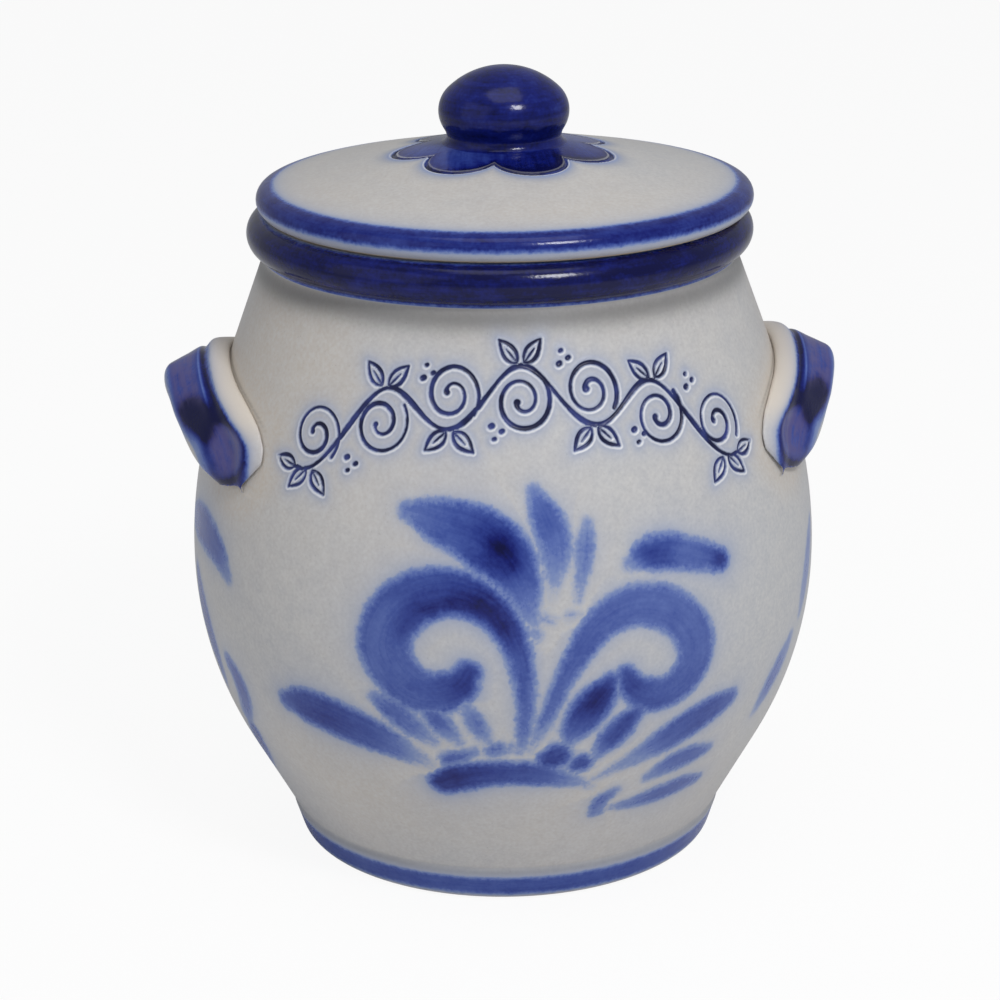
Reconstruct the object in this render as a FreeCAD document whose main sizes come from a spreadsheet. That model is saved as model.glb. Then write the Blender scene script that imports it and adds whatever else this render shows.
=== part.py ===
import FreeCAD, Part
import math
import os
import Sketcher

V = FreeCAD.Vector

# ---------------------------------------------------------------------------
# A lidded stoneware crock with two lug handles. Millimetres, +Z up, origin in
# the middle of the base, handles at -X and +X, decorated front towards -Y.
# ---------------------------------------------------------------------------
SIZES = {
    # crock, outside
    "foot_radius": 75.3,        # where the rounded foot corner meets the foot band
    "foot_round": 4.0,
    "band_radius": 78.2,        # top of the painted foot band
    "band_height": 12.5,
    "band_step": 0.6,           # tooled step that ends the band
    "belly_radius": 110.0,
    "belly_height": 106.0,      # height of the widest point
    "cone_meet": 72.2,          # height where the cone, carried on, meets the belly's upright
    "shoulder_meet": 135.7,     # the same for the shoulder's straight part
    "neck_radius": 81.3,
    "bead_inset": 0.9,          # from the neck in to the circle that the rim bead follows
    "bead_round": 6.9,          # half the bead's thickness
    "rim_height": 227.6,        # flat land that the lid sits on
    "neck_fillet": 1.4,
    "rim_round": 2.0,
    # crock, inside
    "wall": 8.0,
    "floor_margin": 18.0,       # how far the flat floor stops short of the foot corner
    "neck_wall": 8.0,
    "floor_thickness": 10.0,
    "floor_round": 16.0,
    "throat_depth": 13.0,       # straight part of the mouth below the rim
    # lid, heights above the rim land
    "lip_outset": 0.5,          # from the bead's circle out to the one that the lid's lip follows
    "lip_round": 4.6,           # half the lip's thickness
    "dome_angle": 12.4,
    "lid_thickness": 8.0,
    "flange_depth": 9.5,
    "flange_thickness": 6.0,
    "lid_clearance": 2.4,       # gap between flange and mouth, all round
    "lid_shift": 1.8,           # how far the lid lies off the middle, towards +X
    "knob_radius": 22.4,
    "knob_height": 33.4,        # height of the knob's widest point
    "knob_top": 48.6,
    "knob_round": 10.5,
    "knob_neck_round": 3.0,
    # lug handles
    "handle_reach": 20.6,       # how far the strap's free edge stands out from the shoulder
    "handle_drop": 7.5,         # how far the free edge lies below the joined edge
    "handle_top": 180.5,        # height of the joined edge at the top of the arch
    "handle_tip": 140.5,        # height of the two pointed ends
    "handle_half_angle": 29.0,  # where the ends lie, either side of the middle
    "strap_thickness": 8.5,
    "rim_raise": 2.0,           # how far the strap's face stands above the line between its edges
    "strap_root": 3.5,          # how deep the strap is keyed into the wall
    "print_lift": 1.8,          # how far the pressed ends stand off the wall
    "print_length": 25.0,       # thumb print pressed into each end
    "print_width": 17.0,
    "print_depth": 4.0,
    "print_place": 0.72,        # how far along from the arch's top to its end
    "print_inset": 16.5,        # from the joined edge to the middle of the print
    "print_proud": 3.5,         # how far the middle of the dent's ellipsoid lies off the face
}

doc = FreeCAD.newDocument("Crock")
sheet = doc.addObject("Spreadsheet::Sheet", "Sizes")
for row, (alias, value) in enumerate(SIZES.items(), start=1):
    sheet.set("A%d" % row, alias)
    sheet.set("B%d" % row, str(value))
    sheet.setAlias("B%d" % row, alias)
doc.recompute()


def size(expression):
    """The present value of an alias, or of a sum over aliases."""
    return float(sheet.evalExpression(expression))


def from_sheet(expression):
    """The same expression as an object outside the sheet has to write it."""
    words = expression.split()
    return " ".join("Sizes." + word if word in SIZES else word for word in words)


def polar(centre, radius, degrees):
    angle = math.radians(degrees)
    return centre[0] + radius * math.cos(angle), centre[1] + radius * math.sin(angle)


def touch(centre, radius, point, way):
    """Where a line from the point touches a circle, as an angle; way is +1 or -1 for its two tangents."""
    out, up = point[0] - centre[0], point[1] - centre[1]
    return math.degrees(math.atan2(up, out) + way * math.acos(radius / math.hypot(out, up)))


# ---------------------------------------------------------------------------
# Half sections: sketches in the XZ plane, turned about the vertical axis
# ---------------------------------------------------------------------------
class Section:
    """A closed outline of lines and arcs, drawn in order, whose sizes are bound to the sheet."""

    START, END, CENTRE = 1, 2, 3
    AXIS = -2

    def __init__(self, body, name):
        plane = next(f for f in body.Origin.OriginFeatures if f.Role == "XZ_Plane")
        self.sketch = body.newObject("Sketcher::SketchObject", name)
        self.sketch.AttachmentSupport = [(plane, "")]
        self.sketch.MapMode = "FlatFace"

    def line(self, start, end):
        return self.sketch.addGeometry(Part.LineSegment(V(*start, 0), V(*end, 0)), False)

    def arc(self, centre, radius, start_angle, end_angle):
        """An arc that runs anticlockwise from start_angle to end_angle, in degrees."""
        circle = Part.Circle(V(*centre, 0), V(0, 0, 1), radius)
        arc = Part.ArcOfCircle(circle, math.radians(start_angle), math.radians(end_angle))
        return self.sketch.addGeometry(arc, False)

    def rule(self, *parts):
        return self.sketch.addConstraint(Sketcher.Constraint(*parts))

    def meet(self, first, first_end, second, second_end):
        self.rule("Coincident", first, first_end, second, second_end)

    def blend(self, first, first_end, second, second_end):
        self.rule("Tangent", first, first_end, second, second_end)

    def bind(self, expression, kind, *geometry):
        index = self.rule(kind, *geometry, size(expression))
        self.sketch.setExpression("Constraints[%d]" % index, from_sheet(expression))

    def radius(self, arc, expression):
        self.bind(expression, "Radius", arc)

    def out(self, edge, end, expression):
        """Distance of a point from the axis."""
        self.bind(expression, "DistanceX", -1, 1, edge, end)

    def up(self, edge, end, expression):
        """Height of a point over the section's base line."""
        self.bind(expression, "DistanceY", -1, 1, edge, end)

    def slope(self, edge, expression):
        """Direction of a line in degrees, from its start to its end."""
        index = self.rule("Angle", edge, math.radians(size(expression)))
        self.sketch.setExpression("Constraints[%d]" % index, "(%s) * 1 deg" % from_sheet(expression))

    def on_axis(self, edge, end):
        self.rule("PointOnObject", edge, end, self.AXIS)

    def aim(self, edge, out, up):
        """Carried on, the line goes through this point."""
        point = self.sketch.addGeometry(Part.Point(V(size(out), size(up), 0)), True)
        self.out(point, self.START, out)
        self.up(point, self.START, up)
        self.rule("PointOnObject", point, self.START, edge)

    def report_radius(self, arc, name):
        """A reference dimension that other sketches read by its name."""
        index = self.rule("Radius", arc, self.sketch.Geometry[arc].Radius)
        self.sketch.setDriving(index, False)
        self.sketch.renameConstraint(index, name)


def turned(body, kind, section, name):
    """Turn a section once round the vertical axis, as a Revolution or a Groove."""
    doc.recompute()
    feature = body.newObject("PartDesign::" + kind, name)
    feature.Profile = section.sketch
    feature.ReferenceAxis = (section.sketch, ["V_Axis"])
    feature.Angle = 360.0
    doc.recompute()
    return feature


def ring(shape, radius, height):
    """The name of the circular edge that has this radius and height."""
    for number, edge in enumerate(shape.Edges, start=1):
        curve = edge.Curve
        if curve.TypeId != "Part::GeomCircle":
            continue
        if abs(curve.Radius - radius) < 0.01 and abs(curve.Center.z - height) < 0.01:
            return "Edge%d" % number
    raise ValueError("no ring of radius %.2f at %.2f" % (radius, height))


def rounded(body, base, radius, height, expression, name):
    fillet = body.newObject("PartDesign::Fillet", name)
    fillet.Base = (base, [ring(base.Shape, radius, height)])
    fillet.setExpression("Radius", from_sheet(expression))
    doc.recompute()
    return fillet


# ---------------------------------------------------------------------------
# Crock
# ---------------------------------------------------------------------------
LOWER_BEND_INSIDE = "crock_outside_section.Constraints.lower_bend / 1 mm - wall"
UPPER_BEND_INSIDE = "crock_outside_section.Constraints.upper_bend / 1 mm - wall"


def bend(start, upright, meet, height):
    """Radius of the arc between a line from start, aimed at (upright, meet), and the upright at height."""
    out, up = upright - start[0], meet - start[1]
    return abs(height - meet) * (abs(up) + math.hypot(out, up)) / abs(out)


def neck_height():
    """Where the shoulder runs into the underside of the rim bead."""
    return size("rim_height - bead_round") - math.sqrt(size("bead_round") ** 2 - size("bead_inset") ** 2)


def crock_outside(body):
    """Foot, painted band, cone, belly, shoulder and rim bead, filled to the axis."""
    s = Section(body, "crock_outside_section")
    foot = (size("foot_radius - foot_round"), size("foot_round"))
    band = (size("band_radius"), size("band_height"))
    cone_foot = (size("band_radius - band_step"), size("band_height + band_step"))
    bead = (size("neck_radius - bead_inset"), size("rim_height - bead_round"))
    neck = (size("neck_radius"), neck_height())
    neck_angle = math.degrees(math.atan2(neck[1] - bead[1], neck[0] - bead[0]))
    lower_bend = bend(cone_foot, size("belly_radius"), size("cone_meet"), size("belly_height"))
    upper_bend = bend(neck, size("belly_radius"), size("shoulder_meet"), size("belly_height"))
    low_centre = (size("belly_radius") - lower_bend, size("belly_height"))
    high_centre = (size("belly_radius") - upper_bend, size("belly_height"))
    low_angle = touch(low_centre, lower_bend, cone_foot, 1)
    high_angle = touch(high_centre, upper_bend, neck, -1)
    corner_angle = touch(foot, size("foot_round"), band, -1)

    base = s.line((0, 0), (foot[0], 0))
    corner = s.arc(foot, size("foot_round"), -90, corner_angle)
    side = s.line(polar(foot, size("foot_round"), corner_angle), band)
    step = s.line(band, cone_foot)
    cone = s.line(cone_foot, polar(low_centre, lower_bend, low_angle))
    low = s.arc(low_centre, lower_bend, low_angle, 0)
    high = s.arc(high_centre, upper_bend, 0, high_angle)
    shoulder = s.line(polar(high_centre, upper_bend, high_angle), neck)
    roll = s.arc(bead, size("bead_round"), neck_angle, 90)
    land = s.line((bead[0], size("rim_height")), (0, size("rim_height")))
    axis = s.line((0, size("rim_height")), (0, 0))

    s.meet(base, s.START, -1, 1)
    s.blend(base, s.END, corner, s.START)
    s.blend(corner, s.END, side, s.START)
    s.meet(side, s.END, step, s.START)
    s.meet(step, s.END, cone, s.START)
    s.blend(cone, s.END, low, s.START)
    s.meet(low, s.END, high, s.START)
    s.blend(high, s.END, shoulder, s.START)
    s.meet(shoulder, s.END, roll, s.START)
    s.blend(roll, s.END, land, s.START)
    s.meet(land, s.END, axis, s.START)
    s.meet(axis, s.END, base, s.START)
    s.rule("Horizontal", base)
    s.rule("Horizontal", land)
    s.rule("Vertical", axis)
    s.radius(corner, "foot_round")
    s.out(corner, s.CENTRE, "foot_radius - foot_round")
    s.out(side, s.END, "band_radius")
    s.up(side, s.END, "band_height")
    s.out(step, s.END, "band_radius - band_step")
    s.up(step, s.END, "band_height + band_step")
    s.aim(cone, "belly_radius", "cone_meet")
    s.aim(shoulder, "belly_radius", "shoulder_meet")
    s.out(low, s.END, "belly_radius")
    s.up(low, s.END, "belly_height")
    s.up(low, s.CENTRE, "belly_height")
    s.up(high, s.CENTRE, "belly_height")
    s.out(shoulder, s.END, "neck_radius")
    s.radius(roll, "bead_round")
    s.out(roll, s.CENTRE, "neck_radius - bead_inset")
    s.up(land, s.START, "rim_height")
    s.report_radius(low, "lower_bend")
    s.report_radius(high, "upper_bend")
    return s


def crock_inside(body):
    """The hollow: flat floor, rounded corner, wall at an even thickness, straight throat."""
    s = Section(body, "crock_inside_section")
    floor = size("floor_thickness")
    corner_centre = (size("foot_radius - floor_margin"), size("floor_thickness + floor_round"))
    low_radius = size(LOWER_BEND_INSIDE)
    high_radius = size(UPPER_BEND_INSIDE)
    low_centre = (size("belly_radius - wall") - low_radius, size("belly_height"))
    high_centre = (size("belly_radius - wall") - high_radius, size("belly_height"))
    throat = (size("neck_radius - neck_wall"), size("rim_height - throat_depth"))
    brim = size("rim_height + bead_round")
    cone_angle = touch(low_centre, low_radius - size("floor_round"), corner_centre, 1)
    high_angle = touch(high_centre, high_radius, throat, -1)

    bottom = s.line((0, floor), (corner_centre[0], floor))
    corner = s.arc(corner_centre, size("floor_round"), -90, cone_angle)
    corner_end = polar(corner_centre, size("floor_round"), cone_angle)
    cone = s.line(corner_end, polar(low_centre, low_radius, cone_angle))
    low = s.arc(low_centre, low_radius, cone_angle, 0)
    high = s.arc(high_centre, high_radius, 0, high_angle)
    shoulder = s.line(polar(high_centre, high_radius, high_angle), throat)
    mouth = s.line(throat, (throat[0], brim))
    top = s.line((throat[0], brim), (0, brim))
    axis = s.line((0, brim), (0, floor))

    s.on_axis(bottom, s.START)
    s.blend(bottom, s.END, corner, s.START)
    s.blend(corner, s.END, cone, s.START)
    s.blend(cone, s.END, low, s.START)
    s.meet(low, s.END, high, s.START)
    s.blend(high, s.END, shoulder, s.START)
    s.meet(shoulder, s.END, mouth, s.START)
    s.meet(mouth, s.END, top, s.START)
    s.meet(top, s.END, axis, s.START)
    s.meet(axis, s.END, bottom, s.START)
    s.rule("Horizontal", bottom)
    s.rule("Horizontal", top)
    s.rule("Vertical", mouth)
    s.rule("Vertical", axis)
    s.up(bottom, s.START, "floor_thickness")
    s.radius(corner, "floor_round")
    s.out(corner, s.CENTRE, "foot_radius - floor_margin")
    s.radius(low, LOWER_BEND_INSIDE)
    s.radius(high, UPPER_BEND_INSIDE)
    s.out(low, s.END, "belly_radius - wall")
    s.up(low, s.END, "belly_height")
    s.up(low, s.CENTRE, "belly_height")
    s.up(high, s.CENTRE, "belly_height")
    s.out(mouth, s.START, "neck_radius - neck_wall")
    s.up(mouth, s.START, "rim_height - throat_depth")
    s.up(mouth, s.END, "rim_height + bead_round")
    return s


def make_crock():
    body = doc.addObject("PartDesign::Body", "crock")
    outside = turned(body, "Revolution", crock_outside(body), "crock_turned")
    solid = outside.Shape.copy()
    hollow = turned(body, "Groove", crock_inside(body), "crock_hollow")
    if hollow.Shape.Volume > 0.5 * solid.Volume:
        raise ValueError("the groove left the crock filled")
    neck = rounded(body, hollow, size("neck_radius"), neck_height(), "neck_fillet", "neck_fillet")
    rim = rounded(body, neck, size("neck_radius - neck_wall"), size("rim_height"), "rim_round", "rim_fillet")
    body.Tip = rim
    doc.recompute()
    return body, solid


# ---------------------------------------------------------------------------
# Lug handles: a rolled strap, bent into an arch. Its upper edge is luted to
# the shoulder, its free edge stands out as a grip, and both ends are pressed
# flat on to the wall with a thumb.
# ---------------------------------------------------------------------------
STRAP_STEPS = 12        # sections between the top of the arch and each end
ARCH_SPREAD = 0.40      # how far the arch bulges past the angle of its ends
ARCH_FALL = 0.45        # share of the arch's height that it falls evenly, the rest falls near its ends
ARCH_ROUND = 0.12       # how much of the top is rounded over
ARCH_CROWN = 3.6        # power of the fall near the ends
EDGE_CROWN = 1.5        # the free edge hangs in a rounder bow
EDGE_BOW = 1.1
EDGE_PINCH = 0.30       # how much narrower that bow is half way down
EDGE_TURN = 0.10        # how much nearer together its two ends are
REACH_FADE = 1.5        # power by which the strap comes back to the wall
THINNING = 0.7          # share of the strap's thickness that is gone at its ends
SUNK_ENDS = 2.0         # the ends go this many roots deep into the wall
TUCK = 12               # power that keeps that to the last bit of the strap


def wall_radius(solid, height):
    """Outside radius of the crock at a height."""
    ray = Part.makeLine(V(0, 0, height), V(2 * size("belly_radius"), 0, height))
    return solid.common(ray).BoundBox.XMax


def at(angle, radius, height):
    turn = math.radians(angle)
    return V(radius * math.cos(turn), radius * math.sin(turn), height)


def strap_edges(solid, turn):
    """Joined edge and free edge of the strap, where turn runs from -1 to 1 between the two ends."""
    share = abs(turn)
    side = math.copysign(1, turn)
    half = size("handle_half_angle")
    rise = size("handle_top - handle_tip")

    angle = half * ((1 + ARCH_SPREAD) * math.sin(0.5 * math.pi * share) - ARCH_SPREAD * share ** 6)
    even = math.hypot(share, ARCH_ROUND) - ARCH_ROUND
    even /= math.hypot(1, ARCH_ROUND) - ARCH_ROUND
    height = size("handle_tip") + rise * (1 - ARCH_FALL * even - (1 - ARCH_FALL) * share ** ARCH_CROWN)
    lift = size("print_lift") * math.sin(0.5 * math.pi * share ** 2)
    lift -= SUNK_ENDS * size("strap_root") * share ** TUCK
    joined = at(side * angle, wall_radius(solid, height) + lift, height)

    free_angle = half * share * (1 - EDGE_PINCH * math.sin(math.pi * share) - EDGE_TURN * share)
    free_height = size("handle_tip") + (rise - size("handle_drop")) * (1 - share ** EDGE_CROWN) ** EDGE_BOW
    reach = size("handle_reach") * (1 - share ** REACH_FADE) + lift * share
    free = at(side * free_angle, wall_radius(solid, free_height) + reach, free_height)
    return joined, free


def strap_frame(solid, turn):
    """Joined edge, the way across to the free edge, and the direction that the strap's face looks in."""
    step = 0.02
    joined, free = strap_edges(solid, turn)
    ahead = strap_edges(solid, min(turn + step, 1))
    behind = strap_edges(solid, max(turn - step, -1))
    along = (ahead[0] + ahead[1] - behind[0] - behind[1]).normalize()
    across = free - joined
    return joined, across, along.cross(across).normalize() * -1


def strap_section(solid, turn):
    """Points round one section: a thick roll at the wall, a groove, a broad face and the underside."""
    joined, across, face = strap_frame(solid, turn)
    fade = abs(turn) ** 3
    thick = size("strap_thickness") * (1 - THINNING * fade)
    raised = size("rim_raise") * (1 - 0.5 * fade)
    root = size("strap_root") * (1 - THINNING * fade) / across.Length
    profile = [
        (-root, -0.5 * thick),
        (0.00, 0.2 * raised),
        (0.10, 1.5 * raised),
        (0.24, 2.3 * raised),
        (0.36, 1.55 * raised),
        (0.44, 1.85 * raised),
        (0.60, 1.6 * raised),
        (0.78, 1.35 * raised),
        (0.92, raised),
        (1.01, -0.3 * raised),
        (1.04, -0.6 * thick),
        (0.88, -thick),
        (0.69, -1.05 * thick),
        (0.50, -1.05 * thick),
        (0.31, -1.05 * thick),
        (0.12, -thick),
        (-root, -0.5 * thick),
    ]
    return [joined + across * share + face * height for share, height in profile]


def strap(solid):
    """The strap as a solid: a smooth skin over its sections, closed by a flat cap at each end."""
    turns = [step / STRAP_STEPS for step in range(-STRAP_STEPS, STRAP_STEPS + 1)]
    skin = Part.BSplineSurface()
    skin.interpolate([strap_section(solid, turn) for turn in turns])
    start, end, seam, close = skin.bounds()
    halves = [skin.copy(), skin.copy()]
    halves[0].segment(start, end, seam, (seam + close) / 2)
    halves[1].segment(start, end, (seam + close) / 2, close)
    caps = [Part.Face(Part.Wire([half.uIso(edge).toShape() for half in halves])) for edge in (start, end)]
    shell = Part.makeShell([half.toShape() for half in halves] + caps)
    shell.sewShape()
    return Part.makeSolid(shell)


def thumb_print(solid, side):
    """The dent of a thumb in the face of the strap near one end: a flat ellipsoid to be cut away."""
    joined, across, face = strap_frame(solid, side * size("print_place"))
    width = across.normalize()
    along = face.cross(width)
    half_length = size("print_length") / 2
    half_width = size("print_width") / 2
    half_depth = size("print_depth")
    scale = FreeCAD.Matrix(
        along.x * half_length, width.x * half_width, face.x * half_depth, 0,
        along.y * half_length, width.y * half_width, face.y * half_depth, 0,
        along.z * half_length, width.z * half_width, face.z * half_depth, 0,
        0, 0, 0, 1)
    ball = Part.makeSphere(1).transformGeometry(scale)
    ball.translate(joined + width * size("print_inset") + face * size("print_proud"))
    return ball


def luted_on(name, shape, turn):
    """A shape made for the +X side, as an object turned to its side of the crock."""
    piece = doc.addObject("Part::Feature", name)
    piece.Shape = shape
    piece.Placement = FreeCAD.Placement(V(0, 0, 0), FreeCAD.Rotation(V(0, 0, 1), turn))
    return piece


def make_jar():
    """The crock with both handles luted on and their ends pressed: one fired piece."""
    crock, solid = make_crock()
    sides = (("right", 0), ("left", 180))
    handle = strap(solid)
    dents = Part.makeCompound([thumb_print(solid, side) for side in (-1, 1)])
    luted = doc.addObject("Part::MultiFuse", "luted")
    luted.Shapes = [crock] + [luted_on("handle_" + side, handle, turn) for side, turn in sides]
    prints = doc.addObject("Part::MultiFuse", "prints")
    prints.Shapes = [luted_on("prints_" + side, dents, turn) for side, turn in sides]
    jar = doc.addObject("Part::Cut", "jar")
    jar.Base = luted
    jar.Tool = prints
    jar.Label = "jar"
    doc.recompute()
    return jar


# ---------------------------------------------------------------------------
# Lid: low dome, rounded lip, locating flange and a flattened ball knob
# ---------------------------------------------------------------------------
def lid_section(body):
    s = Section(body, "lid_section")
    slope = size("dome_angle")
    lip_circle = "neck_radius - bead_inset + lip_outset"
    lip = (size(lip_circle), size("lip_round"))
    knob = (size("knob_radius - knob_round"), size("knob_height"))
    flange_out = size("neck_radius - neck_wall - lid_clearance")
    flange_in = flange_out - size("flange_thickness")
    flange_round = size("flange_thickness") / 2
    flange_middle = (flange_out - flange_round, flange_round - size("flange_depth"))

    # the crown of the knob passes over its middle and runs on into the rounded side
    rise = size("knob_top - knob_height")
    span = knob[0] ** 2 + rise ** 2 - size("knob_round") ** 2
    crown_radius = span / (rise - size("knob_round")) / 2
    crown = (0, size("knob_top") - crown_radius)
    crown_angle = math.degrees(math.atan2(knob[1] - crown[1], knob[0]))

    # the hollow under the knob touches the knob and, standing on it, the dome
    down, normal = polar((0, 0), 1, -slope), polar((0, 0), 1, 90 - slope)
    above = (lip[0] - knob[0]) * normal[0] + (lip[1] - knob[1]) * normal[1]
    above += size("lip_round + knob_neck_round")
    beside = math.sqrt(size("knob_round + knob_neck_round") ** 2 - above ** 2)
    neck = (knob[0] + normal[0] * above + down[0] * beside, knob[1] + normal[1] * above + down[1] * beside)
    neck_angle = math.degrees(math.atan2(neck[1] - knob[1], neck[0] - knob[0]))
    dome_edge = polar(lip, size("lip_round"), 90 - slope)
    dome_top = polar(neck, size("knob_neck_round"), 270 - slope)

    fall = math.tan(math.radians(slope))
    depth = size("lid_thickness") / math.cos(math.radians(slope))
    inner = dome_edge[1] + (dome_edge[0] - flange_in) * fall - depth
    apex = inner + flange_in * fall

    top = s.arc(crown, crown_radius, crown_angle, 90)
    side = s.arc(knob, size("knob_round"), neck_angle, crown_angle)
    hollow = s.arc(neck, size("knob_neck_round"), 180 + neck_angle, 270 - slope)
    dome = s.line(dome_edge, dome_top)
    edge = s.arc(lip, size("lip_round"), -90, 90 - slope)
    seat = s.line((lip[0], 0), (flange_out, 0))
    outer = s.line((flange_out, 0), (flange_out, flange_middle[1]))
    toe = s.arc(flange_middle, flange_round, 180, 360)
    inside = s.line((flange_in, flange_middle[1]), (flange_in, inner))
    under = s.line((flange_in, inner), (0, apex))
    axis = s.line((0, apex), (0, size("knob_top")))

    s.blend(top, s.START, side, s.END)
    s.blend(side, s.START, hollow, s.START)
    s.blend(hollow, s.END, dome, s.END)
    s.blend(dome, s.START, edge, s.END)
    s.blend(edge, s.START, seat, s.START)
    s.meet(seat, s.END, outer, s.START)
    s.blend(outer, s.END, toe, s.END)
    s.blend(toe, s.START, inside, s.START)
    s.meet(inside, s.END, under, s.START)
    s.meet(under, s.END, axis, s.START)
    s.meet(axis, s.END, top, s.END)
    s.on_axis(axis, s.START)
    s.on_axis(axis, s.END)
    s.on_axis(top, s.CENTRE)
    s.rule("Horizontal", seat)
    s.rule("Vertical", outer)
    s.rule("Vertical", inside)
    s.rule("Parallel", dome, under)
    s.up(axis, s.END, "knob_top")
    s.up(side, s.CENTRE, "knob_height")
    s.out(side, s.CENTRE, "knob_radius - knob_round")
    s.radius(side, "knob_round")
    s.radius(hollow, "knob_neck_round")
    s.radius(edge, "lip_round")
    s.out(edge, s.CENTRE, lip_circle)
    s.up(edge, s.CENTRE, "lip_round")
    s.out(outer, s.START, "neck_radius - neck_wall - lid_clearance")
    s.out(inside, s.END, "neck_radius - neck_wall - lid_clearance - flange_thickness")
    s.bind("flange_thickness / 2 - flange_depth", "DistanceY", -1, 1, toe, s.CENTRE)
    s.bind("lid_thickness", "Distance", inside, s.END, dome)
    s.slope(dome, "180 - dome_angle")
    return s


def make_lid():
    body = doc.addObject("PartDesign::Body", "lid")
    turned(body, "Revolution", lid_section(body), "lid_turned")
    body.setExpression("Placement.Base.x", from_sheet("lid_shift"))
    body.setExpression("Placement.Base.z", from_sheet("rim_height"))
    body.Label = "lid"
    doc.recompute()
    return body


def broken(item):
    return "Invalid" in item.State or "Error" in item.State


# ---------------------------------------------------------------------------
# Build, check and write one file for each sub-part
# ---------------------------------------------------------------------------
sub_parts = [make_jar(), make_lid()]
doc.recompute()
failed = [item.Name for item in doc.Objects if broken(item)]
if failed:
    raise ValueError("failed objects: " + ", ".join(failed))
for part in sub_parts:
    if part.Shape.isNull() or not part.Shape.isValid() or len(part.Shape.Solids) != 1:
        raise ValueError(part.Label + " is not one valid solid")

os.makedirs("parts", exist_ok=True)
for part in sub_parts:
    part.Shape.exportStep("parts/%s.step" % part.Label)
    print(part.Label, round(part.Shape.Volume / 1000, 1), "cm3")
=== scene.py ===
import math
from functools import reduce

import bmesh
import bpy
import numpy as np
from mathutils import Matrix, Vector, kdtree


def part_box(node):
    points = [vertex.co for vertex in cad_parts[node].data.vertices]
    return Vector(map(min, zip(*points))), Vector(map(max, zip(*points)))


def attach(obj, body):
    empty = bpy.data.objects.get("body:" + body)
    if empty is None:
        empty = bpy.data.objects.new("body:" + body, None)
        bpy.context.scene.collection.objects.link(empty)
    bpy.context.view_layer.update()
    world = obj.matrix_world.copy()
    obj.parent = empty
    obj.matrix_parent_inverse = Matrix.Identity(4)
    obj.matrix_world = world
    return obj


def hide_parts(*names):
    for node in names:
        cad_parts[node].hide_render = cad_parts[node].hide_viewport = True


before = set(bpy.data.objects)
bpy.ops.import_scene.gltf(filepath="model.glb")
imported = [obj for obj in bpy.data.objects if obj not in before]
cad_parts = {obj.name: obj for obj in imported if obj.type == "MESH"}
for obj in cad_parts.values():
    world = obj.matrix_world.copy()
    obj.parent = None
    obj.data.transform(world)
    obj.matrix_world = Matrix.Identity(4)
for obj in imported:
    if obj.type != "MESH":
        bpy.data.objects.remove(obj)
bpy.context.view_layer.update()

# ---- A lidded grey stoneware crock with cobalt painting. Blender works in metres,
# but the surface and the painting are worked out in millimetres. The front
# faces -Y. A place on the wall is given as degrees round from the middle of
# the front towards +X, and millimetres up.
MM = 0.001
JAR_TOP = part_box("jar")[1].z / MM
LID_LOW, LID_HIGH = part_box("lid")
LID_AXIS = (LID_LOW.x + LID_HIGH.x) / 2 / MM  # the lid lies a little to one side


def smoothstep(low, high, value):
    """From 0 at low to 1 at high, level at both."""
    share = np.clip((value - low) / (high - low), 0, 1)
    return share * share * (3 - 2 * share)


def hill(distance, width):
    """1 at no distance, and falling off like a bell."""
    return np.exp(-(distance / width) ** 2)


# ---- Outlines: the frame's own section, evened out and sampled finely
FINE = 0.1  # mm between the points of an evened outline
WELD, ON_PLANE = 1e-6, 1e-7  # metres within which points are one, or lie on the cutting plane
SOFT_EDGE, SOFT_WALL = 0.8, 3.5  # mm by which an outline is softened, at its edges and on the plain wall
SOFT_FADE = 8  # mm of height in which the one turns into the other


def read(items, name, kind=float, each=1):
    """One property of all the items, with so many values for each."""
    values = np.empty(len(items) * each, kind)
    items.foreach_get(name, values)
    return values


def resampled(line, along, wanted):
    return np.stack([np.interp(wanted, along, column) for column in line.T], 1)


def half_section(node, axis):
    """The node cut through its axis on the front side: (radius, height) from its lower end on the axis."""
    mesh = bmesh.new()
    mesh.from_mesh(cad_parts[node].data)
    bmesh.ops.remove_doubles(mesh, verts=mesh.verts, dist=WELD)
    everything = mesh.verts[:] + mesh.edges[:] + mesh.faces[:]
    plane = dict(plane_co=(axis * MM, 0, 0), plane_no=(1, 0, 0), dist=ON_PLANE)
    bmesh.ops.bisect_plane(mesh, geom=everything, clear_inner=True, clear_outer=True, **plane)
    bmesh.ops.remove_doubles(mesh, verts=mesh.verts, dist=WELD)
    front = {v for v in mesh.verts if v.co.y < -WELD}
    ends = [v for v in front if sum(e.other_vert(v) in front for e in v.link_edges) == 1]
    here = min(ends, key=lambda v: v.co.z)
    path = [(0.0, here.co.z)]
    while here is not None:
        path.append((-here.co.y, here.co.z))
        front.remove(here)
        here = next((e.other_vert(here) for e in here.link_edges if e.other_vert(here) in front), None)
    path.append((0.0, path[-1][1]))
    mesh.free()
    return np.array(path) / MM


def blurred(line, width):
    """The line softened by a bell of this width, cut off at three widths."""
    reach = int(3 * width / FINE)
    kernel = np.exp(-0.5 * (np.arange(-reach, reach + 1) * FINE / width) ** 2)
    padded = np.pad(line, ((reach, reach), (0, 0)), mode="reflect", reflect_type="odd")
    return np.stack([np.convolve(padded[:, k], kernel / kernel.sum(), "valid") for k in (0, 1)], 1)


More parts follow.
